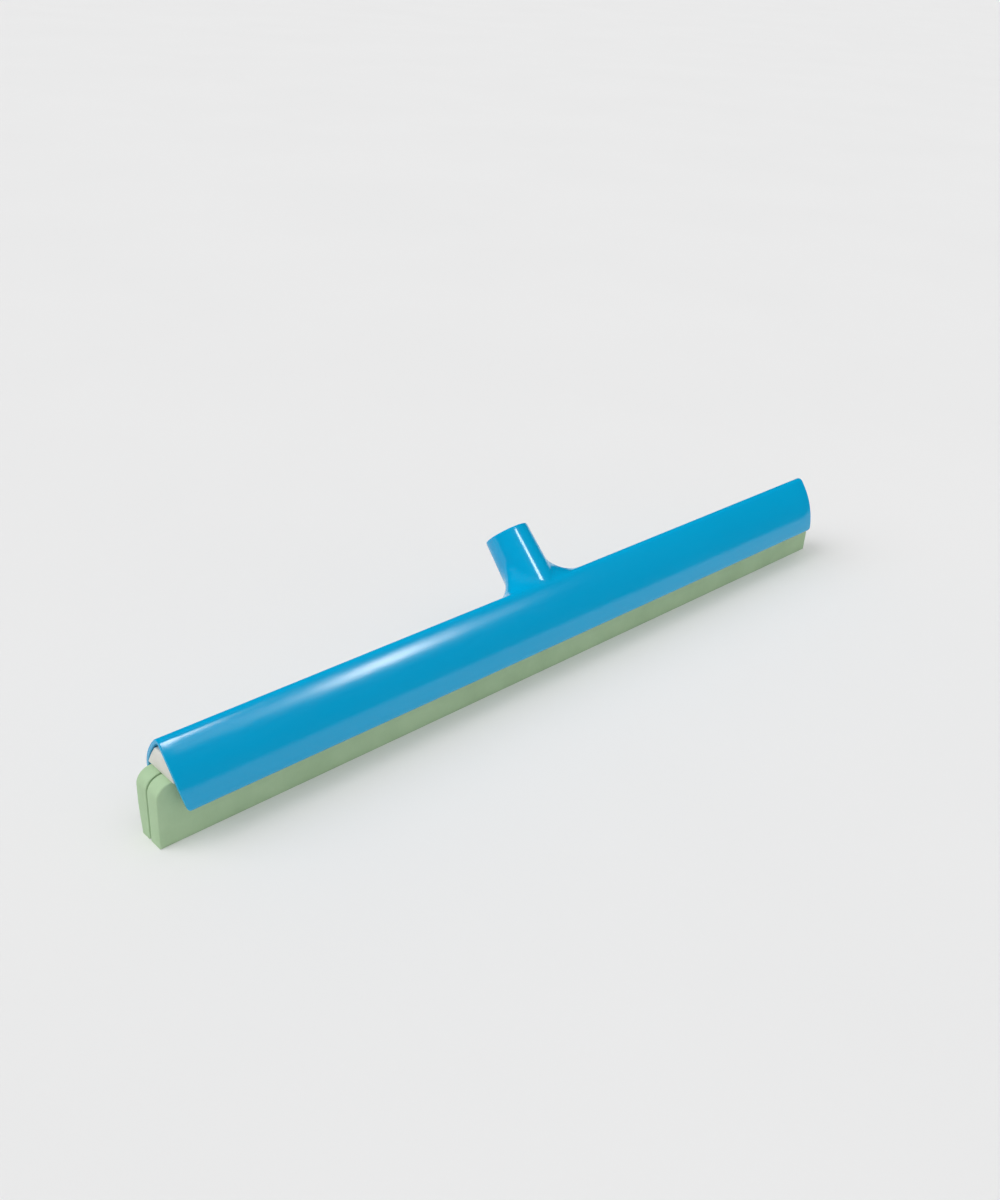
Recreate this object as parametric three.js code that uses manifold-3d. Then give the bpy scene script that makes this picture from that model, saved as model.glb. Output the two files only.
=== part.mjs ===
// Floor squeegee head: an arched plastic channel with an angled handle socket, holding a
// slide-in cassette that clamps two soft rubber blades.
// Millimetres, +Z up. +X runs along the blades, -Y is the front, and the handle socket leans to +Y.
// Every section is drawn about the plane between the blades, and the finished group is shifted in Y
// so that the origin is at the middle of the footprint of the whole head, on the floor.
import * as THREE from 'three';
import { mergeVertices } from 'three/addons/utils/BufferGeometryUtils.js';
import { ParametricGeometry } from 'three/addons/geometries/ParametricGeometry.js';
import Module from 'manifold-3d';

const wasm = await Module();
wasm.setup();

// ---------------------------------------------------------------- driving dimensions
const GAP = 0.3;                    // clearance between separate pieces
const SLIDE_GAP = 0.4;              // clearance between the cassette and the channel it slides in

// arched channel, as a half section: three tangent arcs, each with its radius and the slope where it ends
const CHANNEL_HEIGHT = 62.5;
const CHANNEL_LENGTH = 583;
const CROWN = { radius: 4, end: 47.2 };
const FLANK = { radius: 72, end: 77.8 };
const CURL = { radius: 3, end: 135 };
const WALL = 2.4;
const HOLLOW_DEPTH = 1.9;           // the socket's root ends inside the channel's wall, at this depth
const END_ARC_RADIUS = 145;         // each end bulges in the side view, furthest out at END_ARC_Z
const END_ARC_Z = 62;
const END_CORNER_RADIUS = 4;

// rails inside the channel that carry the cassette
const RAIL_THICKNESS = 1.8;
const RAIL_EDGE_Y = 11.2;
const RAIL_END_SETBACK = 6;

// rib at the +X end that the cassette stops against
const STOP_THICKNESS = 1.2;
const STOP_HALF_WIDTH = 3;
const STOP_OVERLAP = 4;

// handle socket, measured along its own axis from the point where the axis meets the blade plane
const SOCKET_LEAN = THREE.MathUtils.degToRad(45);
const SOCKET_ROOT_Z = 39.7;
const SOCKET_LENGTH = 59.3;
const SOCKET_TIP_RADIUS = 15.4;
const SOCKET_DRAFT = THREE.MathUtils.degToRad(2);
const BORE_MOUTH_RADIUS = 11.8;
const BORE_FLOOR_RADIUS = 11.0;
const BORE_FLOOR = 18;
const FLARE_SIDE_RADIUS = 25;       // fillet radius towards the ends of the channel
const FLARE_FRONT_RADIUS = 8;       // fillet radius towards the front and the back
const SOCKET_EMERGES = 12;          // along the socket, where its front line leaves the crown
const SOCKET_SEGMENTS = 40;

// blades
const BLADE_LENGTH = 600;
const BLADE_THICKNESS = 10;
const SLIT = 1.2;
const BLADE_TOP_Z = 41;             // where the blades leave the cassette
const BLADE_CORNER_RADIUS = 9;
const FOOT_BEVEL = 0.8;
const FOOT_TAPER = 2.2;             // the back of the rear blade thins by this much towards the floor
const FOOT_TAPER_HEIGHT = 20;
const ROOT_TOP_Z = 48;
const ROOT_TOP_THICKNESS = 6;

// cassette
const CASSETTE_LENGTH = 581;
const CASSETTE_TOP_Z = 55;
const CASSETTE_TOP_RADIUS = 3;
const END_CAP_THICKNESS = 3;
const SEPARATOR_THICKNESS = 1.2;
const PIN_COUNT = 11;
const PIN_PITCH = 52;
const PIN_RADIUS = 1.5;
const PIN_Z = 44.8;
const PIN_HALF_LENGTH = 9;

// ---------------------------------------------------------------- materials
const bluePlastic = () => new THREE.MeshStandardMaterial({ color: 0x0590c2, roughness: 0.32, metalness: 0 });
const whitePlastic = () => new THREE.MeshStandardMaterial({ color: 0xdedfd9, roughness: 0.5, metalness: 0 });
const greenRubber = () => new THREE.MeshStandardMaterial({ color: 0x94ab8c, roughness: 0.85, metalness: 0 });

// ---------------------------------------------------------------- solids and helpers
function solidOf(geometry) {
  geometry.deleteAttribute('normal');
  geometry.deleteAttribute('uv');
  const merged = mergeVertices(geometry, 1e-4);
  const corners = merged.index.array;
  const kept = [];
  for (let i = 0; i < corners.length; i += 3) {
    const [a, b, c] = corners.slice(i, i + 3);
    if (a !== b && b !== c && c !== a) kept.push(a, b, c);
  }
  return new wasm.Manifold(new wasm.Mesh({
    numProp: 3,
    vertProperties: new Float32Array(merged.attributes.position.array),
    triVerts: new Uint32Array(kept),
  }));
}

function geometryOf(solid) {
  const mesh = solid.getMesh();
  const geometry = new THREE.BufferGeometry();
  geometry.setAttribute('position', new THREE.BufferAttribute(new Float32Array(mesh.vertProperties), 3));
  geometry.setIndex(new THREE.BufferAttribute(new Uint32Array(mesh.triVerts), 1));
  geometry.computeVertexNormals();
  return geometry;
}

const rad = THREE.MathUtils.degToRad;
const point = (a, b) => new THREE.Vector2(a, b);

// Points of an arc about (cy, cz); the angle is measured from straight up, positive towards +Y.
function arc(cy, cz, radius, from, to, steps) {
  const points = [];
  for (let i = 0; i <= steps; i += 1) {
    const angle = from + ((to - from) * i) / steps;
    points.push(point(cy + radius * Math.sin(angle), cz + radius * Math.cos(angle)));
  }
  return points;
}

// A section drawn in Y and Z, run along X and centred on the middle of the head.
const alongX = new THREE.Matrix4().makeBasis(
  new THREE.Vector3(0, 1, 0), new THREE.Vector3(0, 0, 1), new THREE.Vector3(1, 0, 0));
function runAlongX(outline, length) {
  const geometry = new THREE.ExtrudeGeometry(new THREE.Shape(outline), { depth: length, bevelEnabled: false });
  geometry.translate(0, 0, -length / 2);
  return geometry.applyMatrix4(alongX);
}

// An outline drawn in X and Z, run along Y from one face to the other.
const alongMinusY = new THREE.Matrix4().makeBasis(
  new THREE.Vector3(1, 0, 0), new THREE.Vector3(0, 0, 1), new THREE.Vector3(0, -1, 0));
function runAlongY(outline, width) {
  const geometry = new THREE.ExtrudeGeometry(new THREE.Shape(outline), { depth: width, bevelEnabled: false });
  geometry.translate(0, 0, -width / 2);
  return geometry.applyMatrix4(alongMinusY);
}

// ---------------------------------------------------------------- channel section
// The three arcs of the +Y half of the section, each starting where the one before it ends.
function sectionArcs() {
  const arcs = [];
  let start = 0;
  let joint = point(0, CHANNEL_HEIGHT);
  for (const { radius, end } of [CROWN, FLANK, CURL]) {
    const stop = rad(end);
    const centre = point(joint.x - radius * Math.sin(start), joint.y - radius * Math.cos(start));
    arcs.push({ centre, radius, start, stop });
    joint = point(centre.x + radius * Math.sin(stop), centre.y + radius * Math.cos(stop));
    start = stop;
  }
  return arcs;
}
const ARCS = sectionArcs();
const ARC_STEPS = [7, 11, 4];

// lowest point of the rounded lower lips
const LIP_Z = ARCS[2].centre.y + (ARCS[2].radius - WALL / 2) * Math.cos(ARCS[2].stop) - WALL / 2;

// The +Y half of the section at a depth inside the outer surface, from the crown to the lower lip.
function halfSection(depth) {
  return ARCS.flatMap(({ centre, radius, start, stop }, i) =>
    arc(centre.x, centre.y, radius - depth, start, stop, ARC_STEPS[i]).slice(i === 0 ? 0 : 1));
}

const mirrored = (points) => points.map((p) => point(-p.x, p.y)).reverse();

function halfWidthAt(depth, z) {
  const points = halfSection(depth);
  const lower = points.findIndex((p) => p.y <= z);
  const a = points[lower - 1];
  const b = points[lower];
  return a.x + ((b.x - a.x) * (a.y - z)) / (a.y - b.y);
}

function channelShell() {
  const outer = halfSection(0);
  const inner = halfSection(WALL).reverse();
  const lip = ARCS[2];
  const middle = lip.radius - WALL / 2;
  const lipCentre = point(
    lip.centre.x + middle * Math.sin(lip.stop), lip.centre.y + middle * Math.cos(lip.stop));
  const lipEnd = arc(lipCentre.x, lipCentre.y, WALL / 2, lip.stop, lip.stop + Math.PI, 4).slice(1, -1);
  const half = [...outer, ...lipEnd, ...inner];
  const outline = [...half, ...mirrored(half).slice(1, -1)];
  return solidOf(runAlongX(outline, CHANNEL_LENGTH));
}

// Everything inside a surface near the inner face of the channel's wall, open downwards.
function channelHollow() {
  const inner = halfSection(HOLLOW_DEPTH).filter((p) => p.y > BLADE_TOP_Z - 10);
  const foot = inner[inner.length - 1];
  const half = [...inner, point(foot.x, -10)];
  return solidOf(runAlongX([...half, ...mirrored(half).slice(0, -1)], CHANNEL_LENGTH + 20));
}

// How far the bulging ends reach in X at a height.
function endReachAt(z) {
  return CHANNEL_LENGTH / 2 - END_ARC_RADIUS + Math.sqrt(END_ARC_RADIUS ** 2 - (z - END_ARC_Z) ** 2);
}

// The side view that both bulging ends and their rounded lower corners are trimmed to.
function endTrim() {
  const centreX = CHANNEL_LENGTH / 2 - END_ARC_RADIUS;
  const cornerZ = LIP_Z + END_CORNER_RADIUS;
  const reach = END_ARC_RADIUS - END_CORNER_RADIUS;
  const top = Math.acos((CHANNEL_HEIGHT - END_ARC_Z) / END_ARC_RADIUS);
  const turn = Math.acos((cornerZ - END_ARC_Z) / reach);
  const bulge = arc(centreX, END_ARC_Z, END_ARC_RADIUS, top, turn, 10);
  const corner = arc(centreX + reach * Math.sin(turn), cornerZ, END_CORNER_RADIUS, turn, Math.PI, 4);
  const half = [point(bulge[0].x, CHANNEL_HEIGHT + 60), ...bulge, ...corner.slice(1)];
  return solidOf(runAlongY([...half, ...mirrored(half)], 200));
}

function boxSolid(x0, x1, y0, y1, z0, z1) {
  const geometry = new THREE.BoxGeometry(x1 - x0, y1 - y0, z1 - z0);
  geometry.translate((x0 + x1) / 2, (y0 + y1) / 2, (z0 + z1) / 2);
  return solidOf(geometry);
}

// Two ledges inside the channel that the cassette hangs on.
function rails() {
  const half = endReachAt(BLADE_TOP_Z) - RAIL_END_SETBACK;
  const top = BLADE_TOP_Z - SLIDE_GAP;
  const wallY = halfWidthAt(WALL / 2, top);
  const rear = boxSolid(-half, half, RAIL_EDGE_Y, wallY, top - RAIL_THICKNESS, top);
  const front = boxSolid(-half, half, -wallY, -RAIL_EDGE_Y, top - RAIL_THICKNESS, top);
  return rear.add(front);
}

// A rib under the crown at the +X end, which the cassette comes to rest against.
function endStop() {
  const face = CASSETTE_LENGTH / 2 + SLIDE_GAP;
  return boxSolid(face, face + STOP_THICKNESS, -STOP_HALF_WIDTH, STOP_HALF_WIDTH,
    CASSETTE_TOP_Z - STOP_OVERLAP, CHANNEL_HEIGHT - WALL / 2);
}

// ---------------------------------------------------------------- handle socket
const SOCKET_AXIS = new THREE.Vector3(0, Math.sin(SOCKET_LEAN), Math.cos(SOCKET_LEAN));
const SOCKET_ROOT = new THREE.Vector3(0, 0, SOCKET_ROOT_Z);
const X_AXIS = new THREE.Vector3(1, 0, 0);
const SOCKET_UNDER = new THREE.Vector3().crossVectors(SOCKET_AXIS, X_AXIS);  // towards the back and down

function alongSocket(profile, segments) {
  const frame = new THREE.Matrix4().makeBasis(X_AXIS, SOCKET_AXIS, SOCKET_UNDER.clone().negate());
  frame.setPosition(SOCKET_ROOT);
  return solidOf(new THREE.LatheGeometry(profile, segments).applyMatrix4(frame));
}

const socketRadiusAt = (s) => SOCKET_TIP_RADIUS + (SOCKET_LENGTH - s) * Math.tan(SOCKET_DRAFT);

function socketCone() {
  const root = 8;
  return alongSocket([point(0, root), point(socketRadiusAt(root), root),
    point(SOCKET_TIP_RADIUS, SOCKET_LENGTH), point(0, SOCKET_LENGTH)], SOCKET_SEGMENTS);
}

function socketBore() {
  const slope = (BORE_MOUTH_RADIUS - BORE_FLOOR_RADIUS) / (SOCKET_LENGTH - BORE_FLOOR);
  const above = SOCKET_LENGTH + 5;
  return alongSocket([point(0, BORE_FLOOR), point(BORE_FLOOR_RADIUS, BORE_FLOOR),
    point(BORE_MOUTH_RADIUS + slope * 5, above), point(0, above)], SOCKET_SEGMENTS);
}

// The nearest point on the channel's outer section, as its distance and outward direction.
function nearestOnSection(y, z) {
  const side = y < 0 ? -1 : 1;
  const found = ARCS.map(({ centre, radius, start, stop }) => {
    const dy = side * y - centre.x;
    const dz = z - centre.y;
    const angle = THREE.MathUtils.clamp(Math.atan2(dy, dz), start, stop);
    const away = point(Math.sin(angle), Math.cos(angle));
    const foot = point(centre.x + radius * away.x, centre.y + radius * away.y);
    return { distance: Math.hypot(side * y - foot.x, z - foot.y), y: side * foot.x, z: foot.y };
  });
  return found.reduce((best, one) => (one.distance < best.distance ? one : best));
}

// A ball rolled round the root of the socket, touching both the socket and the channel, seen at one
// angle about the socket axis: angle 0 is towards +X and a quarter turn is towards the back.
function rollingBall(angle) {
  const across = Math.cos(angle) ** 2;
  const radius = FLARE_FRONT_RADIUS + (FLARE_SIDE_RADIUS - FLARE_FRONT_RADIUS) * across;
  const outward = X_AXIS.clone().multiplyScalar(Math.cos(angle)).addScaledVector(SOCKET_UNDER, Math.sin(angle));
  const centreAt = (s) => {
    const touch = socketRadiusAt(s - radius * Math.sin(SOCKET_DRAFT));
    return SOCKET_ROOT.clone().addScaledVector(SOCKET_AXIS, s)
      .addScaledVector(outward, touch + radius * Math.cos(SOCKET_DRAFT));
  };
  let low = SOCKET_EMERGES;
  let high = SOCKET_LENGTH + radius;
  for (let i = 0; i < 40; i += 1) {
    const middle = (low + high) / 2;
    const centre = centreAt(middle);
    if (nearestOnSection(centre.y, centre.z).distance < radius) low = middle;
    else high = middle;
  }
  const centre = centreAt(high);
  const foot = nearestOnSection(centre.y, centre.z);
  const toSocket = outward.clone().multiplyScalar(-Math.cos(SOCKET_DRAFT))
    .addScaledVector(SOCKET_AXIS, -Math.sin(SOCKET_DRAFT));
  const toChannel = new THREE.Vector3(centre.x, foot.y, foot.z).sub(centre).normalize();
  return { centre, radius, outward, toSocket, toChannel };
}

// The flare: the arc of each ball between its two touching points, closed inside the socket and channel.
function flareSolid() {
  const arcSteps = 7;
  const stacks = arcSteps + 5;
  const sink = 0.2;
  const keyed = 0.7;                  // how deep the flare's edge is set into the channel wall
  const innerTop = SOCKET_ROOT.clone().addScaledVector(SOCKET_AXIS, 34);
  const innerFloor = SOCKET_ROOT.clone().addScaledVector(SOCKET_AXIS, 9);
  const surface = (u, v, target) => {
    const ball = rollingBall(-u * Math.PI * 2);
    const row = Math.round(v * stacks);
    const onSocket = ball.centre.clone().addScaledVector(ball.toSocket, ball.radius + sink);
    if (row === 0) target.copy(innerTop);
    else if (row === 1) target.copy(onSocket).addScaledVector(ball.outward, -6);
    else if (row === stacks - 2) target.copy(ball.centre).addScaledVector(ball.toChannel, ball.radius + keyed);
    else if (row === stacks - 1) target.copy(innerFloor).addScaledVector(ball.outward, 4);
    else if (row === stacks) target.copy(innerFloor);
    else {
      const turn = new THREE.Quaternion().setFromUnitVectors(ball.toSocket, ball.toChannel);
      const part = new THREE.Quaternion().slerp(turn, (row - 2) / arcSteps);
      target.copy(ball.toSocket).applyQuaternion(part).multiplyScalar(ball.radius + sink).add(ball.centre);
    }
  };
  return solidOf(new ParametricGeometry(surface, SOCKET_SEGMENTS, stacks));
}

function squeegeeBody() {
  const socket = socketCone().add(flareSolid()).subtract(channelHollow());
  return channelShell().add(rails()).add(endStop()).add(socket).subtract(socketBore()).intersect(endTrim());
}

// ---------------------------------------------------------------- cassette
const FRONT = -1;
const REAR = 1;
const BLADE_Y = (SLIT + BLADE_THICKNESS) / 2;        // middle of the rear blade
const HINGE_Z = BLADE_TOP_Z - BLADE_THICKNESS / 2;   // where a blade bends
const JAW_LENGTH = CASSETTE_LENGTH - 2 * (END_CAP_THICKNESS + GAP);
const ROOT_INNER_Y = SEPARATOR_THICKNESS / 2 + GAP;
const ROOT_OUTER_Y = SLIT / 2 + BLADE_THICKNESS;

// The +Y half of the cassette's outer outline, from its crown down to its flat underside.
function cassetteOutline() {
  const depth = WALL + SLIDE_GAP;
  const shoulderZ = CASSETTE_TOP_Z - CASSETTE_TOP_RADIUS / 2;
  const shoulderY = halfWidthAt(depth, shoulderZ);
  const sides = halfSection(depth).filter((p) => p.y < shoulderZ && p.y > BLADE_TOP_Z);
  return [
    point(shoulderY - CASSETTE_TOP_RADIUS, CASSETTE_TOP_Z),
    point(shoulderY - CASSETTE_TOP_RADIUS / 3, CASSETTE_TOP_Z - CASSETTE_TOP_RADIUS / 8),
    point(shoulderY, shoulderZ),
    ...sides,
    point(halfWidthAt(depth, BLADE_TOP_Z), BLADE_TOP_Z),
  ];
}

function pinHoles() {
  const holes = pinPlaces().map((x) => pinGeometry(PIN_RADIUS + GAP, 60).translate(x, 0, PIN_Z));
  return holes.map(solidOf).reduce((all, one) => all.add(one));
}

function pinPlaces() {
  return Array.from({ length: PIN_COUNT }, (_, i) => (i - (PIN_COUNT - 1) / 2) * PIN_PITCH);
}

function pinGeometry(radius, length) {
  return new THREE.CylinderGeometry(radius, radius, length, 10);
}

const onSide = (points, side) => points.map((p) => point(side * p.x, p.y));

// One half of the clamp: it closes on the tapered root of one blade.
function jaw(side) {
  const pocket = [
    point(ROOT_OUTER_Y + GAP, BLADE_TOP_Z),
    point(ROOT_INNER_Y + ROOT_TOP_THICKNESS + GAP, ROOT_TOP_Z + GAP),
    point(GAP / 2, ROOT_TOP_Z + GAP),
    point(GAP / 2, CASSETTE_TOP_Z),
  ];
  const outline = onSide([...cassetteOutline(), ...pocket], side);
  return solidOf(runAlongX(outline, JAW_LENGTH)).subtract(pinHoles());
}

function bladeRoot(side) {
  const outline = onSide([
    point(ROOT_INNER_Y, BLADE_TOP_Z + GAP),
    point(ROOT_OUTER_Y, BLADE_TOP_Z + GAP),
    point(ROOT_INNER_Y + ROOT_TOP_THICKNESS, ROOT_TOP_Z),
    point(ROOT_INNER_Y, ROOT_TOP_Z),
  ], side);
  return solidOf(runAlongX(outline, JAW_LENGTH)).subtract(pinHoles());
}

function separatorStrip() {
  const half = SEPARATOR_THICKNESS / 2;
  return boxSolid(-JAW_LENGTH / 2, JAW_LENGTH / 2, -half, half, BLADE_TOP_Z + GAP, ROOT_TOP_Z)
    .subtract(pinHoles());
}

function endCap(side) {
  const half = cassetteOutline();
  const x = side * (CASSETTE_LENGTH - END_CAP_THICKNESS) / 2;
  return runAlongX([...half, ...mirrored(half)], END_CAP_THICKNESS).translate(x, 0, 0);
}

// The free part of a blade: round at the top, where it turns, and flat at the foot.
function bladeLip(side) {
  const half = BLADE_THICKNESS / 2;
  const outer = BLADE_Y + half;
  const taper = side === REAR ? FOOT_TAPER : 0;
  const section = [
    ...arc(BLADE_Y, HINGE_Z, half, -Math.PI / 2, Math.PI / 2, 10),
    point(outer, FOOT_TAPER_HEIGHT),
    point(outer - taper, FOOT_BEVEL),
    point(outer - taper - FOOT_BEVEL, 0),
    point(BLADE_Y - half + FOOT_BEVEL, 0),
    point(BLADE_Y - half, FOOT_BEVEL),
  ];
  const cornerX = BLADE_LENGTH / 2 - BLADE_CORNER_RADIUS;
  const cornerZ = BLADE_TOP_Z - BLADE_CORNER_RADIUS;
  const corner = arc(cornerX, cornerZ, BLADE_CORNER_RADIUS, 0, Math.PI / 2, 8);
  const end = [...corner, point(BLADE_LENGTH / 2, -1)];
  const trim = solidOf(runAlongY([...end, ...mirrored(end)], 60));
  return solidOf(runAlongX(onSide(section, side), BLADE_LENGTH)).intersect(trim);
}

// ---------------------------------------------------------------- assembly
const head = new THREE.Group();

function add(name, geometry, material) {
  const mesh = new THREE.Mesh(geometry, material);
  mesh.name = name;
  head.add(mesh);
  return mesh;
}

add('squeegee_body', geometryOf(squeegeeBody()), bluePlastic());
add('front_jaw', geometryOf(jaw(FRONT)), whitePlastic());
add('rear_jaw', geometryOf(jaw(REAR)), whitePlastic());
add('separator_strip', geometryOf(separatorStrip()), whitePlastic());
add('left_end_cap', endCap(-1), whitePlastic());
add('right_end_cap', endCap(1), whitePlastic());
pinPlaces().forEach((x, i) => {
  add(`clamp_pin_${i + 1}`, pinGeometry(PIN_RADIUS, 2 * PIN_HALF_LENGTH), whitePlastic()).position.set(x, 0, PIN_Z);
});
add('front_blade_root', geometryOf(bladeRoot(FRONT)), greenRubber());
add('rear_blade_root', geometryOf(bladeRoot(REAR)), greenRubber());
add('front_blade_lip', geometryOf(bladeLip(FRONT)), greenRubber());
add('rear_blade_lip', geometryOf(bladeLip(REAR)), greenRubber());

// The whole footprint, from the front wall to the back of the socket's tip, is centred on the origin.
const channelHalfWidth = ARCS[2].centre.x + ARCS[2].radius;
const socketBack = SOCKET_LENGTH * SOCKET_AXIS.y + SOCKET_TIP_RADIUS * Math.cos(SOCKET_LEAN);
head.position.y = (channelHalfWidth - socketBack) / 2;

const squeegeeHead = new THREE.Group();
squeegeeHead.add(head);

export default squeegeeHead;
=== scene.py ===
# Looks of the floor squeegee head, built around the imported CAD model. Metres, in the CAD's frame.
import math

import bmesh
import bpy
import numpy as np
from mathutils import Matrix, Vector


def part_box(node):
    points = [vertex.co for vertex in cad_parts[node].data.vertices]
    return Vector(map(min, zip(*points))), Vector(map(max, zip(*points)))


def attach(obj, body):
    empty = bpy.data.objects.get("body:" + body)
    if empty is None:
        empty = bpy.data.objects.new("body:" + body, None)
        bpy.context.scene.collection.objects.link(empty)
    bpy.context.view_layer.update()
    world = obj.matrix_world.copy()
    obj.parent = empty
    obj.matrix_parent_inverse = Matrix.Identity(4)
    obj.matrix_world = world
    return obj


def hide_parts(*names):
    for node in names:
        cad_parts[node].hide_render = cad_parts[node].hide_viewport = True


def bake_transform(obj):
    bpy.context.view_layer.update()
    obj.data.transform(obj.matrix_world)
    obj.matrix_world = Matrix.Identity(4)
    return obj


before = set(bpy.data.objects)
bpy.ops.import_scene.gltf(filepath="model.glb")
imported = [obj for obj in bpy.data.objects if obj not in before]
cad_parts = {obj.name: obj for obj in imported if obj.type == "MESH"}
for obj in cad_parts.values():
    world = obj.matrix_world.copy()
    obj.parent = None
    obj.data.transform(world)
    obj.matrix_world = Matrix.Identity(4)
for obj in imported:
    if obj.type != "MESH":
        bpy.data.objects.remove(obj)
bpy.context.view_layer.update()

scene = bpy.context.scene
MM = 0.001

# ---------------------------------------------------------------- driving sizes, in millimetres
# They are the sizes the CAD model is drawn with; BLADE_PLANE_Y is where its section plane lies in the frame.
front_low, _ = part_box("front_blade_lip")
_, rear_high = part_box("rear_blade_lip")
BLADE_PLANE_Y = (front_low.y + rear_high.y) / 2 / MM
CHANNEL_HEIGHT = 62.5
CHANNEL_LENGTH = 583.0
CROWN, FLANK, CURL = (4.0, 47.2), (72.0, 77.8), (3.0, 135.0)   # arc radius, slope where it ends
WALL = 2.4
END_ARC_RADIUS = 145.0     # each end bulges in the side view, furthest out at END_ARC_Z
END_ARC_Z = 62.0
END_CORNER_RADIUS = 4.0
SOCKET_LEAN = math.radians(45)
SOCKET_ROOT_Z = 39.7
SOCKET_LENGTH = 59.3
SOCKET_TIP_RADIUS = 15.4
SOCKET_DRAFT = math.radians(2)
BORE_MOUTH_RADIUS = 11.8
BORE_FLOOR_RADIUS = 11.0
BORE_FLOOR = 18.0
FLARE_SIDE_RADIUS = 25.0   # of the fillet towards the ends of the channel
FLARE_FRONT_RADIUS = 8.0   # of the fillet towards the front and the back
SOCKET_EMERGES = 12.0      # along the socket, where its front line leaves the crown
RAIL_THICKNESS = 1.8
RAIL_EDGE_Y = 11.2
RAIL_END_SETBACK = 6.0
SLIDE_GAP = 0.4            # between the cassette and the channel it slides in
STOP_THICKNESS = 1.2
STOP_HALF_WIDTH = 3.0
STOP_OVERLAP = 4.0
BLADE_LENGTH = 600.0
BLADE_THICKNESS = 10.0
SLIT = 1.2
BLADE_TOP_Z = 41.0         # where the blades leave the cassette
BLADE_CORNER_RADIUS = 9.0
FOOT_TAPER = 2.2           # the back of the rear blade thins by this much towards the floor
FOOT_TAPER_HEIGHT = 20.0
FOOT_TAPER_POWER = 1.3
BEND_END_Z = 31.0          # a height on the blades, which make_pieces puts into the frame and then leaves unused
ROOT_TOP_Z = 48.0
ROOT_TOP_THICKNESS = 6.0
CASSETTE_LENGTH = 581.0
CASSETTE_TOP_Z = 55.0
CASSETTE_TOP_RADIUS = 3.0
END_CAP_THICKNESS = 3.0
SEPARATOR_THICKNESS = 1.2
GAP = 0.3                  # between separate pieces
PIN_COUNT = 11
PIN_PITCH = 52.0
PIN_RADIUS = 1.5
PIN_Z = 44.8
PIN_HALF_LENGTH = 9.0

# ---------------------------------------------------------------- mesh helpers
MERGE_DISTANCE = 1e-6      # metres
BEVEL_SEGMENTS, BEVEL_ANGLE = 2, 30
BISECTIONS = 40


def place(points):
    """Millimetres about the blade plane to metres in the frame."""
    points = np.asarray(points, float) + (0, BLADE_PLANE_Y, 0)
    return points * MM


def mesh_object(name, points, faces):
    mesh = bpy.data.meshes.new(name)
    mesh.from_pydata([tuple(p) for p in place(points)], [], faces)
    mesh.validate()
    obj = bpy.data.objects.new(name, mesh)
    scene.collection.objects.link(obj)
    return obj


def tidy_mesh(obj):
    """Merges doubled points and turns every face outwards."""
    bm = bmesh.new()
    bm.from_mesh(obj.data)
    bmesh.ops.remove_doubles(bm, verts=bm.verts, dist=MERGE_DISTANCE)
    bmesh.ops.recalc_face_normals(bm, faces=bm.faces)
    bm.to_mesh(obj.data)
    bm.free()


def shade(obj, angle=35):
    for polygon in obj.data.polygons:
        polygon.use_smooth = True
    obj.data.set_sharp_from_angle(angle=math.radians(angle))


def apply_modifiers(obj):
    depsgraph = bpy.context.evaluated_depsgraph_get()
    mesh = bpy.data.meshes.new_from_object(obj.evaluated_get(depsgraph))
    obj.modifiers.clear()
    plain = obj.data
    obj.data = mesh
    bpy.data.meshes.remove(plain)


class Builder:
    """Collects points and faces of one mesh."""

    def __init__(self):
        self.points, self.faces = [], []

    def add(self, points):
        start = len(self.points)
        self.points += [tuple(p) for p in points]
        return list(range(start, start + len(points)))

    def bridge(self, a, b, closed=True):
        """Quads between two rows of points, which go round when they are closed."""
        count = len(a) if closed else len(a) - 1
        for i in range(count):
            j = (i + 1) % len(a)
            self.faces.append((a[i], a[j], b[j], b[i]))

    def grow(self, ring, points):
        """Adds a ring of points and bridges it to the one before."""
        now = self.add(points)
        self.bridge(ring, now)
        return now

    def tube(self, rings):
        """Rings of points bridged one after another, with both ends closed."""
        rings = [self.add(points) for points in rings]
        for a, b in zip(rings, rings[1:]):
            self.bridge(a, b)
        self.faces.append(tuple(reversed(rings[0])))
        self.faces.append(tuple(rings[-1]))


# ---------------------------------------------------------------- channel section
def section_arcs():
    """The three tangent arcs of the +Y half of the section: centre, radius, first and last slope."""
    arcs = []
    start, joint = 0.0, np.array([0.0, CHANNEL_HEIGHT])
    for radius, end in (CROWN, FLANK, CURL):
        stop = math.radians(end)
        centre = joint - radius * np.array([math.sin(start), math.cos(start)])
        arcs.append((centre, radius, start, stop))
        joint = centre + radius * np.array([math.sin(stop), math.cos(stop)])
        start = stop
    return arcs


ARCS = section_arcs()
ARC_LENGTHS = [radius * (stop - start) for _, radius, start, stop in ARCS]
LIP_MIDDLE = ARCS[2][0] + (ARCS[2][1] - WALL / 2) * np.array([math.sin(ARCS[2][3]), math.cos(ARCS[2][3])])
LIP_Z = LIP_MIDDLE[1] - WALL / 2


def section_point(along, depth=0.0):
    """The section's point at an arc length from the crown, negative towards the front, some depth inside."""
    side = -1.0 if along < 0 else 1.0
    left = abs(along)
    for k, (centre, radius, start, stop) in enumerate(ARCS):
        if left <= ARC_LENGTHS[k] or k == 2:
            slope = start + min(left, ARC_LENGTHS[k]) / radius
            break
        left -= ARC_LENGTHS[k]
    y, z = centre + (radius - depth) * np.array([math.sin(slope), math.cos(slope)])
    return side * y, z


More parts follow.
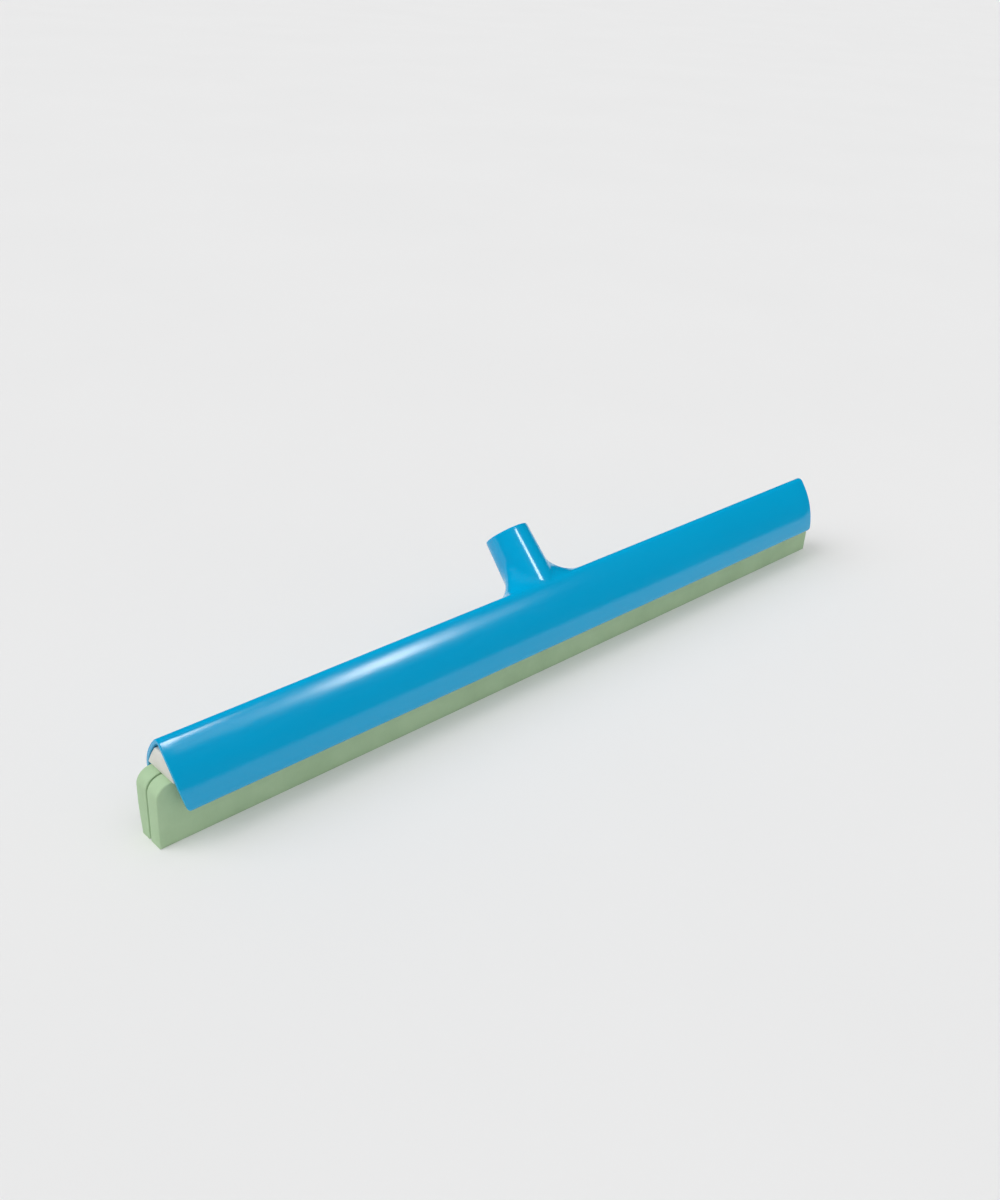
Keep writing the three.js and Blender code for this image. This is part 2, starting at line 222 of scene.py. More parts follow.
def nearest_along(y, z):
    """Arc length and distance of the outer section's nearest point."""
    side = -1.0 if y < 0 else 1.0
    best = None
    before = 0.0
    for k, (centre, radius, start, stop) in enumerate(ARCS):
        slope = min(max(math.atan2(side * y - centre[0], z - centre[1]), start), stop)
        foot = centre + radius * np.array([math.sin(slope), math.cos(slope)])
        distance = math.hypot(side * y - foot[0], z - foot[1])
        if best is None or distance < best[1]:
            best = (side * (before + radius * (slope - start)), distance)
        before += ARC_LENGTHS[k]
    return best


def end_x(z):
    """How far the bulging end, with its rounded lower corner, reaches at a height."""
    centre_x = CHANNEL_LENGTH / 2 - END_ARC_RADIUS
    corner_z = LIP_Z + END_CORNER_RADIUS
    reach = END_ARC_RADIUS - END_CORNER_RADIUS
    if z >= END_ARC_Z - (END_ARC_Z - corner_z) * END_ARC_RADIUS / reach:
        return centre_x + math.sqrt(END_ARC_RADIUS ** 2 - (z - END_ARC_Z) ** 2)
    corner_x = centre_x + math.sqrt(reach ** 2 - (END_ARC_Z - corner_z) ** 2)
    drop = min(corner_z - z, END_CORNER_RADIUS)
    return corner_x + math.sqrt(END_CORNER_RADIUS ** 2 - drop ** 2)


# ---------------------------------------------------------------- flare between socket and channel
X_AXIS = np.array([1.0, 0.0, 0.0])
SOCKET_AXIS = np.array([0.0, math.sin(SOCKET_LEAN), math.cos(SOCKET_LEAN)])
SOCKET_UNDER = np.cross(SOCKET_AXIS, X_AXIS)
SOCKET_ROOT = np.array([0.0, 0.0, SOCKET_ROOT_Z])


def socket_radius(s):
    return SOCKET_TIP_RADIUS + (SOCKET_LENGTH - s) * math.tan(SOCKET_DRAFT)


def around_socket(angle):
    return X_AXIS * math.cos(angle) + SOCKET_UNDER * math.sin(angle)


def rolling_ball(angle):
    """The ball that touches socket and channel at an angle about the socket: centre, radius, contacts."""
    radius = FLARE_FRONT_RADIUS + (FLARE_SIDE_RADIUS - FLARE_FRONT_RADIUS) * math.cos(angle) ** 2
    outward = around_socket(angle)
    low, high = SOCKET_EMERGES, SOCKET_LENGTH + radius

    def centre_at(s):
        touch = socket_radius(s - radius * math.sin(SOCKET_DRAFT))
        return SOCKET_ROOT + SOCKET_AXIS * s + outward * (touch + radius * math.cos(SOCKET_DRAFT))

    for _ in range(BISECTIONS):
        middle = (low + high) / 2
        centre = centre_at(middle)
        if nearest_along(centre[1], centre[2])[1] < radius:
            low = middle
        else:
            high = middle
    centre = centre_at(high)
    along = nearest_along(centre[1], centre[2])[0]
    foot = np.array([centre[0], *section_point(along)])
    to_socket = -outward * math.cos(SOCKET_DRAFT) - SOCKET_AXIS * math.sin(SOCKET_DRAFT)
    to_channel = (foot - centre) / np.linalg.norm(foot - centre)
    return centre, radius, to_socket, to_channel, along


def ball_arc(ball, steps):
    """Points of the ball's arc from the channel to the socket."""
    centre, radius, to_socket, to_channel, _ = ball
    turn = math.acos(float(np.clip(to_socket @ to_channel, -1, 1)))
    points = []
    for i in range(steps + 1):
        t = i / steps
        direction = (math.sin((1 - t) * turn) * to_channel + math.sin(t * turn) * to_socket) / math.sin(turn)
        points.append(centre + radius * direction)
    return points


# ---------------------------------------------------------------- blue body
PATCH_HALF = 64.0          # the flare sits inside this much of the channel, each way from the middle
EDGE_RADIUS = 0.45         # moulded rounding of the channel's end edges
FLANK_ROWS, CROWN_ROWS, CURL_ROWS, LIP_ROWS = 26, 10, 8, 8
END_ROWS = 5
STATION_END = 280.0        # how far out the channel's evenly spaced stations go
ARM_STATIONS, PATCH_STATIONS = 45, 33
PATCH_ROWS = 18
PATCH_EASE = 0.5           # crowds the patch's rows towards the flare
ARC_ROWS = 14
CONE_ROWS = 16
RIM_RADIUS = 0.9           # rounding of the socket's rim, outside
MOUTH_RADIUS = 0.7         # rounding of the bore's mouth
RIM_ROWS, MOUTH_ROWS = 5, 4
BORE_ROWS = 72
THREAD_PITCH, THREAD_HEIGHT = 5.0, 0.9
THREAD_HALF_WIDTH = 0.28   # of its ridge, as a share of the pitch
THREAD_FADE = 3.0          # over which the ridge rises at both its ends
THREAD_FROM_MOUTH, THREAD_FROM_FLOOR = 3.0, 7.0     # plain bore before the thread at each end
ANGLE_SAMPLES = 721


def outer_alongs():
    """Arc lengths of the section's points from the front lip over the crown to the rear lip."""
    half = []
    before = 0.0
    for length, rows in zip(ARC_LENGTHS, (CROWN_ROWS, FLANK_ROWS, CURL_ROWS)):
        half += [before + length * i / rows for i in range(rows)]
        before += length
    half.append(before)
    return [-a for a in reversed(half)] + half[1:]


ALONGS = outer_alongs()
PATCH_ALONG = ARC_LENGTHS[0] + ARC_LENGTHS[1]     # the flare stays above the curl
TINY = 1e-6
PATCH_COLUMNS = [i for i, a in enumerate(ALONGS) if abs(a) < PATCH_ALONG + TINY]


def wall_loop(inset):
    """The wall's closed outline in Y and Z, drawn in by inset: outer face, lip, inner face, lip."""
    outer = [section_point(a, inset) for a in ALONGS]
    inner = [section_point(a, WALL - inset) for a in reversed(ALONGS)]
    stop = ARCS[2][3]
    lip = []
    for i in range(1, LIP_ROWS):
        slope = stop + math.pi * i / LIP_ROWS
        lip.append(LIP_MIDDLE + (WALL / 2 - inset) * np.array([math.sin(slope), math.cos(slope)]))
    rear_lip = [(y, z) for y, z in lip]
    front_lip = [(-y, z) for y, z in reversed(lip)]
    return outer + rear_lip + inner + front_lip


def channel_end(build, side):
    """One end of the channel with its rounded edges. Returns the loop that its length starts from."""
    steps = []
    for i in range(END_ROWS + 1):
        turn = math.pi / 2 * i / END_ROWS
        steps.append((EDGE_RADIUS * (1 - math.cos(turn)), EDGE_RADIUS * (1 - math.sin(turn))))
    steps += [(EDGE_RADIUS + (WALL / 2 - EDGE_RADIUS) * i / 2, 0.0) for i in (1, 2)]
    loops = []
    for inset, back in steps:
        loops.append(build.add([(side * (end_x(z) - back), y, z) for y, z in wall_loop(inset)]))
    for a, b in zip(loops, loops[1:]):
        build.bridge(a, b)
    return loops[0]


def channel_length(build, ends):
    """Stations between the ends and their faces, leaving out the outer face where the flare's patch goes."""
    arm = np.linspace(PATCH_HALF, STATION_END, ARM_STATIONS)
    middle = np.linspace(-PATCH_HALF, PATCH_HALF, PATCH_STATIONS)[1:-1]
    xs = [*np.linspace(-STATION_END, -PATCH_HALF, ARM_STATIONS), *middle, *arm]
    base = wall_loop(0.0)
    stations = [ends[0]] + [build.add([(x, y, z) for y, z in base]) for x in xs] + [ends[1]]
    positions = [-math.inf] + xs + [math.inf]
    for k in range(len(stations) - 1):
        inside = positions[k] >= -PATCH_HALF - TINY and positions[k + 1] <= PATCH_HALF + TINY
        a, b = stations[k], stations[k + 1]
        for i in range(len(a)):
            j = (i + 1) % len(a)
            if inside and PATCH_COLUMNS[0] <= i < PATCH_COLUMNS[-1]:
                continue
            build.faces.append((a[i], a[j], b[j], b[i]))
    return positions, stations


def patch_rim(positions, stations):
    """The patch's rim, as (x, arc length, point), going round once."""
    first, last = PATCH_COLUMNS[0], PATCH_COLUMNS[-1]
    span = [k for k, x in enumerate(positions) if -PATCH_HALF - TINY <= x <= PATCH_HALF + TINY]

    def spot(k, i):
        return positions[k], ALONGS[i], stations[k][i]

    rim = [spot(span[0], i) for i in PATCH_COLUMNS]
    rim += [spot(k, last) for k in span[1:]]
    rim += [spot(span[-1], i) for i in reversed(PATCH_COLUMNS[:-1])]
    rim += [spot(k, first) for k in reversed(span[1:-1])]
    return rim


def match_angles(rim):
    """For each rim point, the angle about the socket whose ball touches the channel the same way."""
    samples = np.linspace(-math.pi, math.pi, ANGLE_SAMPLES)
    contacts = [rolling_ball(a) for a in samples]
    spots = np.array([(c[0][0], c[4]) for c in contacts])
    middle_along = (spots[:, 1].max() + spots[:, 1].min()) / 2
    bearings = np.unwrap(np.arctan2(spots[:, 1] - middle_along, spots[:, 0]))
    wanted = np.unwrap([math.atan2(along - middle_along, x) for x, along, _ in rim])
    rising = bearings[-1] > bearings[0]
    keys = bearings if rising else bearings[::-1]
    values = samples if rising else samples[::-1]
    turns = 2 * math.pi
    keys = np.concatenate([keys[:-1] - turns, keys[:-1], keys[:-1] + turns, keys[:-1] + 2 * turns])
    step = turns if rising else -turns
    values = np.concatenate([values[:-1] + step * k for k in (-1, 0, 1, 2)])
    return np.interp((wanted - keys[0]) % turns + keys[0] + turns, keys, values)


def ring_about_socket(angles, heights, radii):
    """Points about the socket's axis, one for each angle, at its own height along the axis and radius."""
    return [SOCKET_ROOT + SOCKET_AXIS * s + around_socket(a) * r for a, s, r in zip(angles, heights, radii)]


def level_ring(angles, height, radius):
    return ring_about_socket(angles, [height] * len(angles), [radius] * len(angles))


def grow_patch(build, ring, rim, balls):
    """From the patch's rim inwards over the channel's own surface, to where each ball touches it."""
    for row in range(1, PATCH_ROWS + 1):
        t = row / PATCH_ROWS
        t = t * (1 + PATCH_EASE - PATCH_EASE * t)
        points = []
        for (x, along, _), (centre, _, _, _, touch_along) in zip(rim, balls):
            points.append((x + (centre[0] - x) * t, *section_point(along + (touch_along - along) * t)))
        ring = build.grow(ring, points)
    return ring


def grow_flare_and_socket(build, ring, angles, balls):
    """Up the flare, then up the socket's cone to the start of its rounded rim."""
    arcs = [ball_arc(ball, ARC_ROWS) for ball in balls]
    for row in range(1, ARC_ROWS + 1):
        ring = build.grow(ring, [arc[row] for arc in arcs])
    bases = [float((arc[-1] - SOCKET_ROOT) @ SOCKET_AXIS) for arc in arcs]
    top = SOCKET_LENGTH - RIM_RADIUS
    for row in range(1, CONE_ROWS + 1):
        heights = [base + (top - base) * (row / CONE_ROWS) for base in bases]
        ring = build.grow(ring, ring_about_socket(angles, heights, [socket_radius(s) for s in heights]))
    return ring


def grow_rim(build, ring, angles):
    """Over the rim's outer rounding and the rounding of the bore's mouth."""
    top = SOCKET_LENGTH - RIM_RADIUS
    for i in range(1, RIM_ROWS + 1):
        turn = math.pi / 2 * i / RIM_ROWS
        height = top + RIM_RADIUS * math.sin(turn)
        radius = socket_radius(top) - RIM_RADIUS * (1 - math.cos(turn))
        ring = build.grow(ring, level_ring(angles, height, radius))
    for i in range(1, MOUTH_ROWS + 1):
        turn = math.pi / 2 * i / MOUTH_ROWS
        height = SOCKET_LENGTH - MOUTH_RADIUS * (1 - math.cos(turn))
        radius = BORE_MOUTH_RADIUS + MOUTH_RADIUS * (1 - math.sin(turn))
        ring = build.grow(ring, level_ring(angles, height, radius))
    return ring


def ramp_up(distance):
    """Rises from 0 to 1 over the thread's fade."""
    return min(1.0, max(0.0, distance / THREAD_FADE))


def thread_depth(height, angle):
    """How far the thread's ridge stands out of the bore."""
    from_mouth = ramp_up(SOCKET_LENGTH - height - THREAD_FROM_MOUTH)
    fade = from_mouth * ramp_up(height - BORE_FLOOR - THREAD_FROM_FLOOR)
    phase = (height / THREAD_PITCH - angle / (2 * math.pi)) % 1.0
    ridge = max(0.0, 1 - abs(phase - 0.5) / THREAD_HALF_WIDTH)
    return THREAD_HEIGHT * fade * ridge * ridge * (3 - 2 * ridge)


def grow_bore(build, ring, angles):
    """Down the threaded bore, and its floor."""
    start = SOCKET_LENGTH - MOUTH_RADIUS
    for row in range(1, BORE_ROWS + 1):
        height = start - (start - BORE_FLOOR) * row / BORE_ROWS
        share = (SOCKET_LENGTH - height) / (SOCKET_LENGTH - BORE_FLOOR)
        plain = BORE_MOUTH_RADIUS + (BORE_FLOOR_RADIUS - BORE_MOUTH_RADIUS) * share
        radii = [plain - thread_depth(height, angle) for angle in angles]
        ring = build.grow(ring, ring_about_socket(angles, [height] * len(angles), radii))
    ring = build.grow(ring, level_ring(angles, BORE_FLOOR, BORE_FLOOR_RADIUS / 2))
    centre = build.add([SOCKET_ROOT + SOCKET_AXIS * BORE_FLOOR])[0]
    for i, point in enumerate(ring):
        build.faces.append((point, ring[(i + 1) % len(ring)], centre))


def squeegee_body():
    """The channel, the flare and the socket, one skin all round."""
    build = Builder()
    ends = [channel_end(build, side) for side in (-1, 1)]
    rim = patch_rim(*channel_length(build, ends))
    angles = match_angles(rim)
    balls = [rolling_ball(angle) for angle in angles]
    ring = grow_patch(build, [point for _, _, point in rim], rim, balls)
    ring = grow_flare_and_socket(build, ring, angles, balls)
    ring = grow_rim(build, ring, angles)
    grow_bore(build, ring, angles)
    obj = mesh_object("squeegee_body_moulding", build.points, build.faces)
    tidy_mesh(obj)
    shade(obj, 40)
    return obj


# ---------------------------------------------------------------- bars run along X
def bevelled(obj, width):
    bevel = obj.modifiers.new("bevel", "BEVEL")
    bevel.width = width * MM
    bevel.segments = BEVEL_SEGMENTS
    bevel.limit_method = "ANGLE"
    bevel.angle_limit = math.radians(BEVEL_ANGLE)
    apply_modifiers(obj)


def bar(name, outline, x0, x1, edge=0.25):
    """A closed (y, z) outline run from x0 to x1, with its sharp edges rounded."""
    build = Builder()
    build.tube([[(x, y, z) for y, z in outline] for x in (x0, x1)])
    obj = mesh_object(name, build.points, build.faces)
    tidy_mesh(obj)
    bevelled(obj, edge)
    return obj


def half_width(depth, z):
    """Half width of the channel's section at a height, some depth inside."""
    low, high = 0.0, PATCH_ALONG
    for _ in range(BISECTIONS):
        middle = (low + high) / 2
        if section_point(middle, depth)[1] > z:
            low = middle
        else:
            high = middle
    return section_point(high, depth)[0]


def box_outline(y0, y1, z0, z1):
    return [(y0, z0), (y1, z0), (y1, z1), (y0, z1)]


RAIL_SUNK, RAIL_FALL = 0.6, 0.9     # into the wall, and how much thicker the rail is there
STOP_TOP_DROP = 1.2                 # of the rib's top, under the middle of the crown's wall


def rails_and_stop():
    """The two ledges that carry the cassette, and the rib that stops it at the +X end."""
    top = BLADE_TOP_Z - SLIDE_GAP
    reach = end_x(BLADE_TOP_Z) - RAIL_END_SETBACK
    wall = half_width(WALL / 2, top)
    low = top - RAIL_THICKNESS
    sunk = wall + RAIL_SUNK
    outline = [(RAIL_EDGE_Y, low), (sunk, low - RAIL_FALL), (sunk, top), (RAIL_EDGE_Y, top)]
    rear = bar("cassette_rail_rear", outline, -reach, reach)
    front = bar("cassette_rail_front", [(-y, z) for y, z in outline], -reach, reach)
    face = CASSETTE_LENGTH / 2 + SLIDE_GAP
    stop_top = CHANNEL_HEIGHT - WALL / 2 - STOP_TOP_DROP
    rib = box_outline(-STOP_HALF_WIDTH, STOP_HALF_WIDTH, CASSETTE_TOP_Z - STOP_OVERLAP, stop_top)
    stop = bar("cassette_stop", rib, face, face + STOP_THICKNESS)
    return [rear, front, stop]


# ---------------------------------------------------------------- cassette
JAW_HALF = CASSETTE_LENGTH / 2 - END_CAP_THICKNESS - GAP
ROOT_INNER_Y = SEPARATOR_THICKNESS / 2 + GAP
ROOT_OUTER_Y = SLIT / 2 + BLADE_THICKNESS
PIN_PLACES = [(i - (PIN_COUNT - 1) / 2) * PIN_PITCH for i in range(PIN_COUNT)]
PIN_CHAMFER = 0.3
PIN_SIDES, HOLE_SIDES = 28, 24
HOLE_HALF_LENGTH = 30.0    # long enough to cut through both jaws and everything between them
SHOULDER_ROWS, SHOULDER_PULL = 6, 0.25
SIDE_ROWS = 12


def cassette_outline():
    """The +Y half of the cassette's outline, from its crown down to its underside."""
    depth = WALL + SLIDE_GAP
    shoulder_z = CASSETTE_TOP_Z - CASSETTE_TOP_RADIUS / 2
    shoulder_y = half_width(depth, shoulder_z)
    points = [(shoulder_y - CASSETTE_TOP_RADIUS, CASSETTE_TOP_Z)]
    for i in range(1, SHOULDER_ROWS):
        t = i / SHOULDER_ROWS
        pull = SHOULDER_PULL * CASSETTE_TOP_RADIUS * 2 * t * (1 - t)
        y = shoulder_y - CASSETTE_TOP_RADIUS * (1 - t) ** 2 - pull
        z = CASSETTE_TOP_Z - (CASSETTE_TOP_RADIUS / 2) * t * t
        points.append((y, z))
    for z in np.linspace(shoulder_z, BLADE_TOP_Z, SIDE_ROWS):
        points.append((half_width(depth, z), float(z)))
    return points


def pin_circle(x, y, radius, sides):
    angles = np.linspace(0, 2 * math.pi, sides + 1)[:-1]
    return [(x + radius * math.cos(a), y, PIN_Z + radius * math.sin(a)) for a in angles]


def pin_cutter():
    """The holes for all the pins, as one mesh to cut with."""
    build = Builder()
    radius = PIN_RADIUS + GAP
    for x in PIN_PLACES:
        build.tube([pin_circle(x, y, radius, HOLE_SIDES) for y in (-HOLE_HALF_LENGTH, HOLE_HALF_LENGTH)])
    cutter = mesh_object("pin_cutter", build.points, build.faces)
    tidy_mesh(cutter)
    return cutter


def drilled(obj, cutter):
    cut = obj.modifiers.new("pin_holes", "BOOLEAN")
    cut.operation = "DIFFERENCE"
    cut.solver = "EXACT"
    cut.object = cutter
    apply_modifiers(obj)
    shade(obj)
    return obj


def jaw(name, side, cutter):
    pocket = [(ROOT_OUTER_Y + GAP, BLADE_TOP_Z), (ROOT_INNER_Y + ROOT_TOP_THICKNESS + GAP, ROOT_TOP_Z + GAP),
              (GAP / 2, ROOT_TOP_Z + GAP), (GAP / 2, CASSETTE_TOP_Z)]
    outline = [(side * y, z) for y, z in cassette_outline() + pocket]
    return drilled(bar(name, outline, -JAW_HALF, JAW_HALF, edge=0.2), cutter)


def end_cap(name, side):
    half = cassette_outline()
    outline = half + [(-y, z) for y, z in reversed(half)]
    face = side * CASSETTE_LENGTH / 2
    back = face - side * END_CAP_THICKNESS
    obj = bar(name, outline, min(face, back), max(face, back), edge=0.45)
    shade(obj)
    return obj


def separator(cutter):
    half = SEPARATOR_THICKNESS / 2
    outline = box_outline(-half, half, BLADE_TOP_Z + GAP, ROOT_TOP_Z)
    return drilled(bar("separator_strip_moulding", outline, -JAW_HALF, JAW_HALF, edge=0.15), cutter)


def clamp_pin(name, x):
    """A turned pin with chamfered ends."""
    build = Builder()
    end, slim = PIN_HALF_LENGTH, PIN_RADIUS - PIN_CHAMFER
    profile = [(-end, slim), (-end + PIN_CHAMFER, PIN_RADIUS), (end - PIN_CHAMFER, PIN_RADIUS), (end, slim)]
    build.tube([pin_circle(x, y, radius, PIN_SIDES) for y, radius in profile])
    obj = mesh_object(name, build.points, build.faces)
    tidy_mesh(obj)
    shade(obj, 30)
    return obj


# ---------------------------------------------------------------- rubber blades
EDGE = 0.7                 # rounding of the rubber's cut edges
SEAT_GAP = 0.2             # between the blade's shoulder and the end cap above it
CORNER_COLUMNS, BODY_COLUMNS = 9, 120
PLATE_ROWS, ROOT_ROWS, EDGE_ROWS = 26, 5, 3
FIRST_ROOT = CORNER_COLUMNS + 2                # the plate's first column with the root above it
LAST_ROOT = FIRST_ROOT + BODY_COLUMNS


def blade_grid(inset):
    """Columns of (x, z) points over a blade's side, drawn in by inset: the plate's, then the root's."""
    half = BLADE_LENGTH / 2 - inset
    radius = BLADE_CORNER_RADIUS - inset
    top = BLADE_TOP_Z - SEAT_GAP - inset
    root_half = JAW_HALF - inset
    corner_x, corner_z = half - radius, top - radius
    right = []
    for i in range(CORNER_COLUMNS + 1):
        angle = math.pi / 2 * (1 - i / CORNER_COLUMNS)
        right.append((corner_x + radius * math.sin(angle), corner_z + radius * math.cos(angle)))
    right.append(((corner_x + root_half) / 2, top))
    xs = list(np.linspace(root_half, -root_half, BODY_COLUMNS + 1))
    columns = right + [(x, top) for x in xs] + [(-x, z) for x, z in reversed(right)]
    plate = [[(x, inset + (z - inset) * j / PLATE_ROWS) for j in range(PLATE_ROWS + 1)] for x, z in columns]
    heights = [top + (ROOT_TOP_Z - inset - top) * j / ROOT_ROWS for j in range(1, ROOT_ROWS + 1)]
    root = [[(x, z) for z in heights] for x in xs]
    return plate, root


def blade_sides(z, tapered):
    """How far a blade's inner and outer sides lie from the blade plane at a height."""
    outer = ROOT_OUTER_Y
    if tapered and z < FOOT_TAPER_HEIGHT:
        outer -= FOOT_TAPER * (1 - z / FOOT_TAPER_HEIGHT) ** FOOT_TAPER_POWER
    if z <= BLADE_TOP_Z:
        return SLIT / 2, outer
    share = (z - BLADE_TOP_Z) / (ROOT_TOP_Z - BLADE_TOP_Z)
    return ROOT_INNER_Y, outer + (ROOT_INNER_Y + ROOT_TOP_THICKNESS - outer) * share


def blade_rim():
    """The grid's boundary once round, as ("plate" or "root", column, row)."""
    last = LAST_ROOT + CORNER_COLUMNS + 2
    rim = [("plate", c, 0) for c in range(last + 1)]
    rim += [("plate", last, r) for r in range(1, PLATE_ROWS + 1)]
    rim += [("plate", c, PLATE_ROWS) for c in range(last - 1, LAST_ROOT - 1, -1)]
    rim += [("root", BODY_COLUMNS, r) for r in range(ROOT_ROWS)]
    rim += [("root", c, ROOT_ROWS - 1) for c in range(BODY_COLUMNS - 1, -1, -1)]
    rim += [("root", 0, r) for r in range(ROOT_ROWS - 2, -1, -1)]
    rim += [("plate", c, PLATE_ROWS) for c in range(FIRST_ROOT, -1, -1)]
    rim += [("plate", 0, r) for r in range(PLATE_ROWS - 1, 0, -1)]
    return rim


def blade(name, side, cutter):
    """One blade, root and lip in one piece, with rounded edges and holes for the pins."""
    build = Builder()
    tapered = side > 0

    def surface(face, depth):
        def at(point):
            x, z = point
            inner, outer = blade_sides(z, tapered)
            return (x, side * (outer - depth if face == "outer" else inner + depth), z)
        return at

    rim = blade_rim()
    edges = {}
    for face in ("outer", "inner"):
        plate, root = blade_grid(EDGE)
        at = surface(face, 0.0)
        grid = {"plate": [build.add([at(p) for p in column]) for column in plate],
                "root": [build.add([at(p) for p in column]) for column in root]}
        for a, b in zip(grid["plate"], grid["plate"][1:]):
            build.bridge(a, b, closed=False)
        for k, (a, b) in enumerate(zip(grid["root"], grid["root"][1:])):
            below_a, below_b = (column[-1] for column in grid["plate"][FIRST_ROOT + k:FIRST_ROOT + k + 2])
            build.bridge([below_a] + a, [below_b] + b, closed=False)
        ring = [grid[part][c][r] for part, c, r in rim]
        for step in range(1, EDGE_ROWS + 1):
            turn = math.pi / 2 * step / EDGE_ROWS
            inset = EDGE * (1 - math.sin(turn))
            points = dict(zip(("plate", "root"), blade_grid(inset)))
            at = surface(face, EDGE * (1 - math.cos(turn)))
            ring = build.grow(ring, [at(points[part][c][r]) for part, c, r in rim])
        edges[face] = ring
    build.bridge(edges["outer"], edges["inner"])
    obj = mesh_object(name, build.points, build.faces)
    tidy_mesh(obj)
    return drilled(obj, cutter)


# ---------------------------------------------------------------- materials
def srgb(r, g, b):
    """A display colour, 0 to 255, as linear values."""
    return tuple((c / 255 / 12.92) if c <= 10 else ((c / 255 + 0.055) / 1.055) ** 2.4 for c in (r, g, b))


class Material:
    """A small helper that adds and links the nodes of one material."""

    def __init__(self, name):
        self.material = bpy.data.materials.new(name)
        self.material.use_nodes = True
        self.tree = self.material.node_tree
        self.shader = self.tree.nodes["Principled BSDF"]
        self.position = self.add("ShaderNodeTexCoord").outputs["Object"]

    def add(self, kind):
        return self.tree.nodes.new(kind)

    def link(self, a, b):
        self.tree.links.new(a, b)

    def noise(self, scale, detail, roughness, stretch=(1, 1, 1)):
        mapping = self.add("ShaderNodeMapping")
        mapping.inputs["Scale"].default_value = stretch
        self.link(self.position, mapping.inputs["Vector"])
        node = self.add("ShaderNodeTexNoise")
        node.inputs["Scale"].default_value = scale
        node.inputs["Detail"].default_value = detail
        node.inputs["Roughness"].default_value = roughness
        self.link(mapping.outputs["Vector"], node.inputs["Vector"])
        return node.outputs["Fac"]

    def cells(self, scale):
        node = self.add("ShaderNodeTexVoronoi")
        node.inputs["Scale"].default_value = scale
        self.link(self.position, node.inputs["Vector"])
        return node.outputs["Distance"]

    def ramp(self, factor, stops):
        node = self.add("ShaderNodeValToRGB")
        elements = node.color_ramp.elements
        while len(elements) < len(stops):
            elements.new(0.5)
        for element, (position, colour) in zip(elements, stops):
            element.position = position
            element.color = (*colour, 1)
        self.link(factor, node.inputs["Fac"])
        return node.outputs["Color"]

    def range(self, factor, low, high, to_low, to_high):
        node = self.add("ShaderNodeMapRange")
        for key, value in (("From Min", low), ("From Max", high), ("To Min", to_low), ("To Max", to_high)):
            node.inputs[key].default_value = value
        self.link(factor, node.inputs["Value"])
        return node.outputs["Result"]

    def bump(self, height, strength, distance, below=None):
        node = self.add("ShaderNodeBump")
        node.inputs["Strength"].default_value = strength
        node.inputs["Distance"].default_value = distance
        self.link(height, node.inputs["Height"])
        if below is not None:
            self.link(below, node.inputs["Normal"])
        return node.outputs["Normal"]

    def finish(self, colour, roughness, normal, **values):
        self.link(colour, self.shader.inputs["Base Color"])
        self.link(roughness, self.shader.inputs["Roughness"])
        self.link(normal, self.shader.inputs["Normal"])
        for key, value in values.items():
            self.shader.inputs[key.replace("_", " ")].default_value = value
        return self.material


def blue_plastic():
    """Gloss moulded polypropylene: faint flow shading, a slight ripple, fine handling marks."""
    m = Material("blue_plastic")
    flow = m.noise(9, 3, 0.5, (0.35, 1, 1))
    tones = [(0.3, srgb(0, 164, 215)), (0.55, srgb(0, 168, 219)), (0.75, srgb(1, 171, 223))]
    colour = m.ramp(flow, tones)
    marks = m.noise(420, 6, 0.62, (0.15, 1, 1))
    roughness = m.range(marks, 0.3, 0.8, 0.12, 0.17)
    ripple = m.bump(m.noise(60, 2, 0.4), 0.05, 0.0006)
    normal = m.bump(m.noise(1500, 2, 0.5), 0.04, 0.0001, ripple)
    return m.finish(colour, roughness, normal, IOR=1.49, Specular_IOR_Level=0.5)


def white_plastic():
    """Satin extruded plastic with faint lines along its length."""
    m = Material("white_plastic")
    tones = [(0.3, srgb(214, 213, 205)), (0.6, srgb(224, 223, 215)), (0.8, srgb(229, 228, 221))]
    colour = m.ramp(m.noise(30, 4, 0.55), tones)
    lines = m.noise(900, 3, 0.5, (0.02, 1, 1))
    roughness = m.range(lines, 0.3, 0.7, 0.4, 0.52)
    normal = m.bump(lines, 0.12, 0.0001, m.bump(m.noise(700, 3, 0.5), 0.06, 0.0001))
    return m.finish(colour, roughness, normal, IOR=1.47)


def green_rubber():
    """Matt closed-cell rubber: small pores, a mottled tone and a slightly uneven cut face."""
    m = Material("green_rubber")
    tones = [(0.28, srgb(167, 195, 157)), (0.5, srgb(174, 202, 164)), (0.74, srgb(181, 208, 171))]
    colour = m.ramp(m.noise(38, 6, 0.62), tones)
    grain = m.noise(1300, 3, 0.6)
    roughness = m.range(grain, 0.3, 0.7, 0.78, 0.95)
    pores = m.bump(m.range(m.cells(1500), 0.1, 0.5, 0, 1), 0.25, 0.00015)
    swell = m.bump(m.noise(90, 3, 0.5), 0.08, 0.0006, pores)
    normal = m.bump(grain, 0.2, 0.0001, swell)
    return m.finish(colour, roughness, normal, IOR=1.45, Specular_IOR_Level=0.25)


def floor_paper():
    """Plain pale studio paper."""
    m = Material("floor_paper")
    colour = m.ramp(m.noise(3, 3, 0.5), [(0.35, (0.800, 0.800, 0.801)), (0.65, (0.808, 0.808, 0.809))])
    roughness = m.range(m.noise(200, 3, 0.5), 0.3, 0.7, 0.9, 1.0)
    normal = m.bump(m.noise(900, 3, 0.6), 0.05, 0.0001)
    return m.finish(colour, roughness, normal, Specular_IOR_Level=0.0)


# ---------------------------------------------------------------- pieces, their bodies and their finishes
BLUE, WHITE, GREEN = blue_plastic(), white_plastic(), green_rubber()


